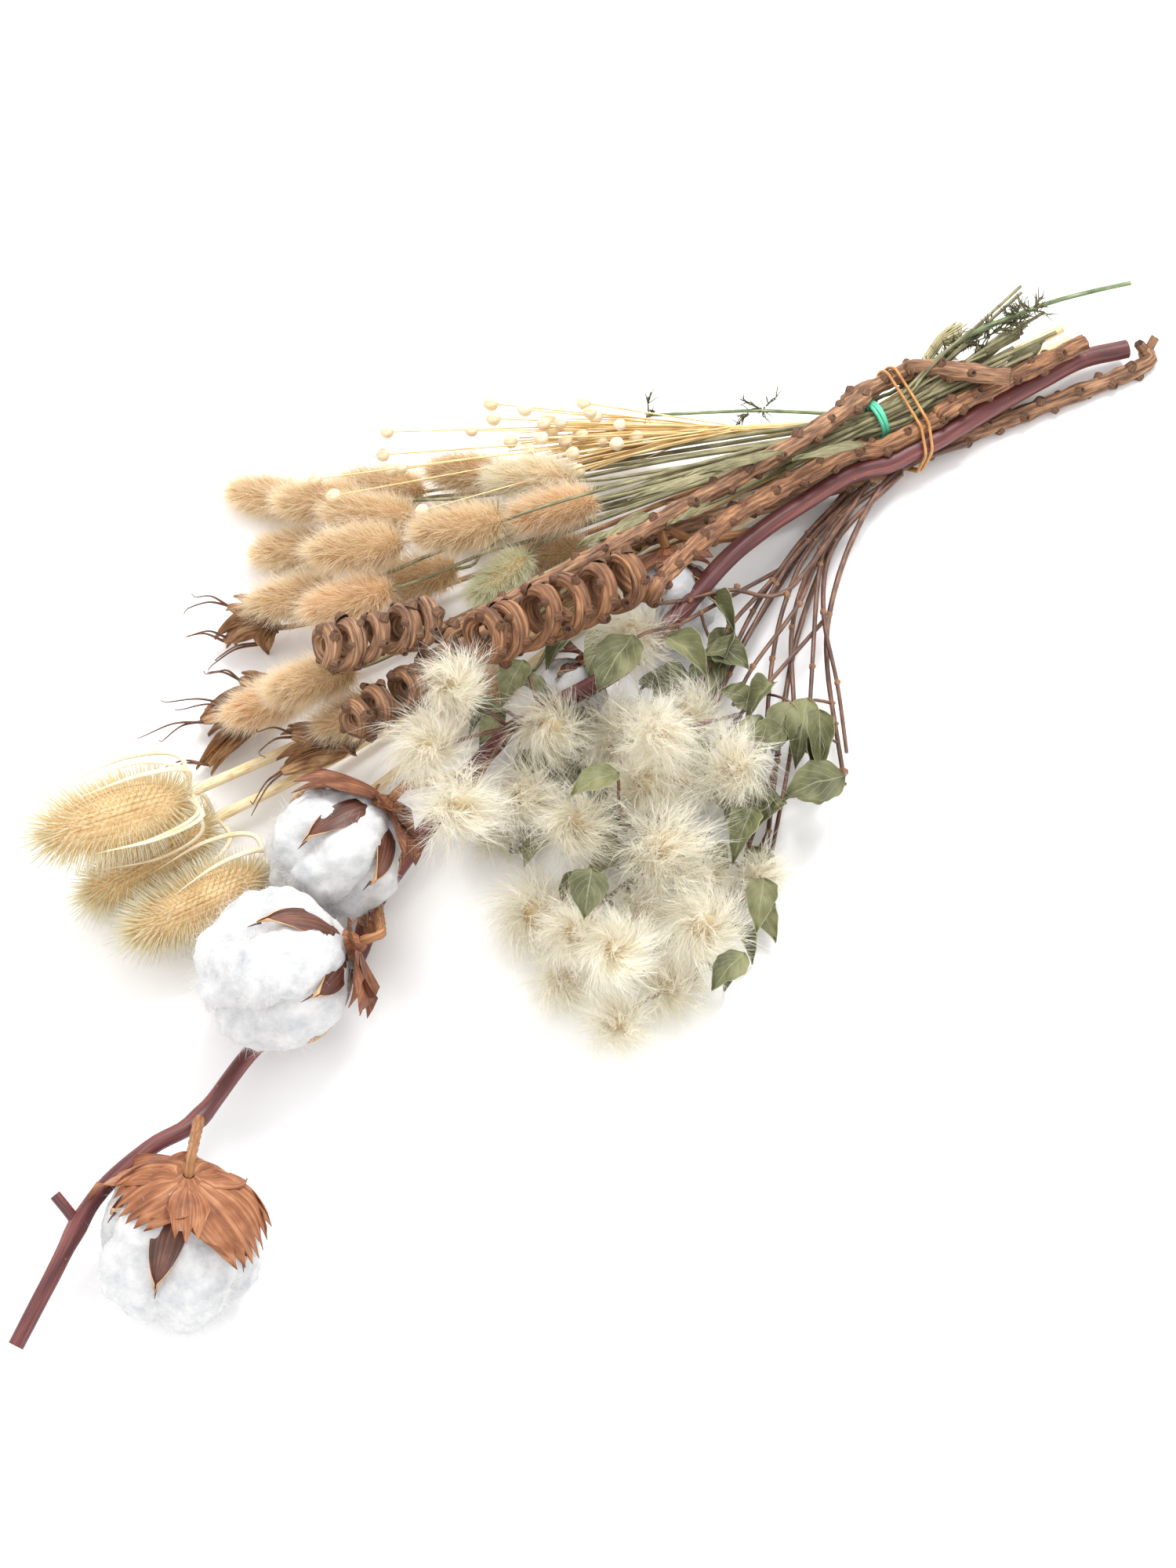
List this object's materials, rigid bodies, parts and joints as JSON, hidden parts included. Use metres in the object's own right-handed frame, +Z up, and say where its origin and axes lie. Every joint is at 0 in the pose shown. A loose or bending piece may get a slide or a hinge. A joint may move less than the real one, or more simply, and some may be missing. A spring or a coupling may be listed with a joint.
{
  "type": "dried flower bunch",
  "caption": "Bunch of dried stems tied with rubber bands: a branch with white bolls, spiral stems, grass heads, teasels, pods, thin straws and leafy stems with silky seed heads.",
  "frame": {"origin": "on the surface that the bunch lies on, under the middle of its bounding box", "axes": "+X along the bunch, from the heads towards the cut stems; +Y across it, away from the viewer of the picture; +Z up from the surface"},
  "size_m": [0.7761, 0.3907, 0.1143],
  "materials": {
    "grass_head": "soft beige plant hair",
    "grass_head_green": "soft pale green plant hair",
    "grass_stem": "dry sage-green grass stem",
    "seed_silk": "silky cream plumes",
    "leafy_stem": "dry grey-green leaves on thin red-brown stems",
    "bark": "grooved brown bark",
    "red_wood": "smooth dark red-brown bark",
    "dry_husk": "dry orange-brown husk",
    "lint": "white cotton fibre",
    "straw": "golden straw with cream seed capsules",
    "dark_green": "dark green dry leaves",
    "pod_husk": "papery brown seed pods",
    "mint_rubber": "matt mint-green rubber",
    "tan_rubber": "matt tan rubber",
    "teasel_straw": "pale dry spines and bracts"
  },
  "bodies": {
    "root": {"bunny_tail_01": "grass_head", "bunny_tail_02": "grass_head", "bunny_tail_03": "grass_head", "bunny_tail_04": "grass_head", "bunny_tail_05": "grass_head", "bunny_tail_06": "grass_head", "bunny_tail_07": "grass_head", "bunny_tail_08": "grass_head", "bunny_tail_09": "grass_head", "bunny_tail_10": "grass_head", "bunny_tail_11": "grass_head", "bunny_tail_12": "grass_head", "bunny_tail_13": "grass_head", "bunny_tail_14": "grass_head", "bunny_tail_15": "grass_head", "bunny_tail_16": "grass_head_green", "bunny_tail_17": "grass_head", "bunny_tail_18": "grass_head", "bunny_tail_19": "grass_head", "bunny_tail_20": "grass_head_green", "bunny_tail_stems": "grass_stem", "clematis_heads_01": "seed_silk", "clematis_heads_02": "seed_silk", "clematis_heads_03": "seed_silk", "clematis_heads_04": "seed_silk", "clematis_heads_05": "seed_silk", "clematis_heads_06": "seed_silk", "clematis_heads_07": "seed_silk", "clematis_heads_08": "seed_silk", "clematis_heads_09": "seed_silk", "clematis_heads_10": "seed_silk", "clematis_stem_1": "leafy_stem", "clematis_stem_2": "leafy_stem", "clematis_stem_3": "leafy_stem", "coil_stem_1": "bark", "coil_stem_2": "bark", "coil_stem_3": "bark", "cotton_branch": "red_wood", "cotton_bur_1": "dry_husk", "cotton_bur_2": "dry_husk", "cotton_bur_3": "dry_husk", "cotton_bur_4": "dry_husk", "cotton_bur_5": "dry_husk", "cotton_lint_1": "lint", "cotton_lint_2": "lint", "cotton_lint_3": "lint", "cotton_lint_4": "lint", "cotton_lint_5": "lint", "flax_spray": "straw", "green_sprig": "dark_green", "horned_pods_1": "pod_husk", "horned_pods_2": "pod_husk", "horned_pods_3": "pod_husk", "mint_band": "mint_rubber", "tan_band": "tan_rubber", "teasel_1": "teasel_straw", "teasel_2": "teasel_straw", "teasel_3": "teasel_straw"}
  },
  "joints": []
}
